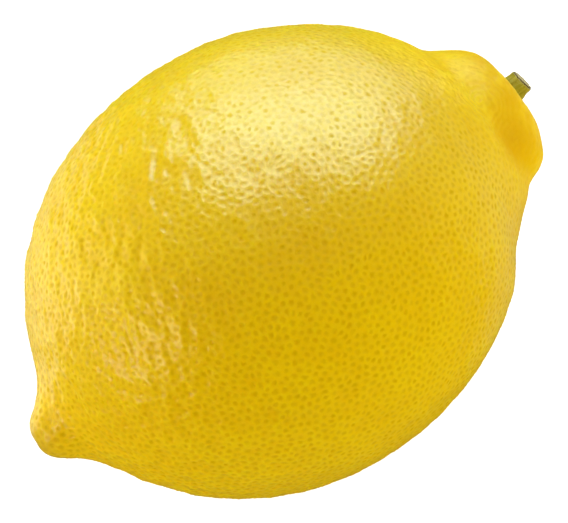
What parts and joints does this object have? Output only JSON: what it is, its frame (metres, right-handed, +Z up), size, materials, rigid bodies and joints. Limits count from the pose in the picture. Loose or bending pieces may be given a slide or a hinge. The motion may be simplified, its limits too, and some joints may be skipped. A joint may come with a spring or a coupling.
{
  "type": "lemon",
  "caption": "Whole lemon lying on its side, with a nippled tip, a lobed collar round the stem hollow, a small calyx and a cut stub of stem; it rests on a slight flat.",
  "frame": {"origin": "middle of the small flat the fruit rests on, under its centre of gravity", "axes": "+X along the fruit, from the nipple towards the stem; +Z up, as it lies; +Y to the left of someone looking along +X"},
  "size_m": [0.0851, 0.0619, 0.0606],
  "materials": {
    "rind": "waxy, semi-gloss, finely pitted with oil glands",
    "calyx": "dry, matt, green-brown",
    "stem": "ribbed olive-green bark, pale dry cut face"
  },
  "bodies": {
    "root": {"fruit": "rind", "calyx": "calyx", "stem_stub": "stem"}
  },
  "joints": []
}
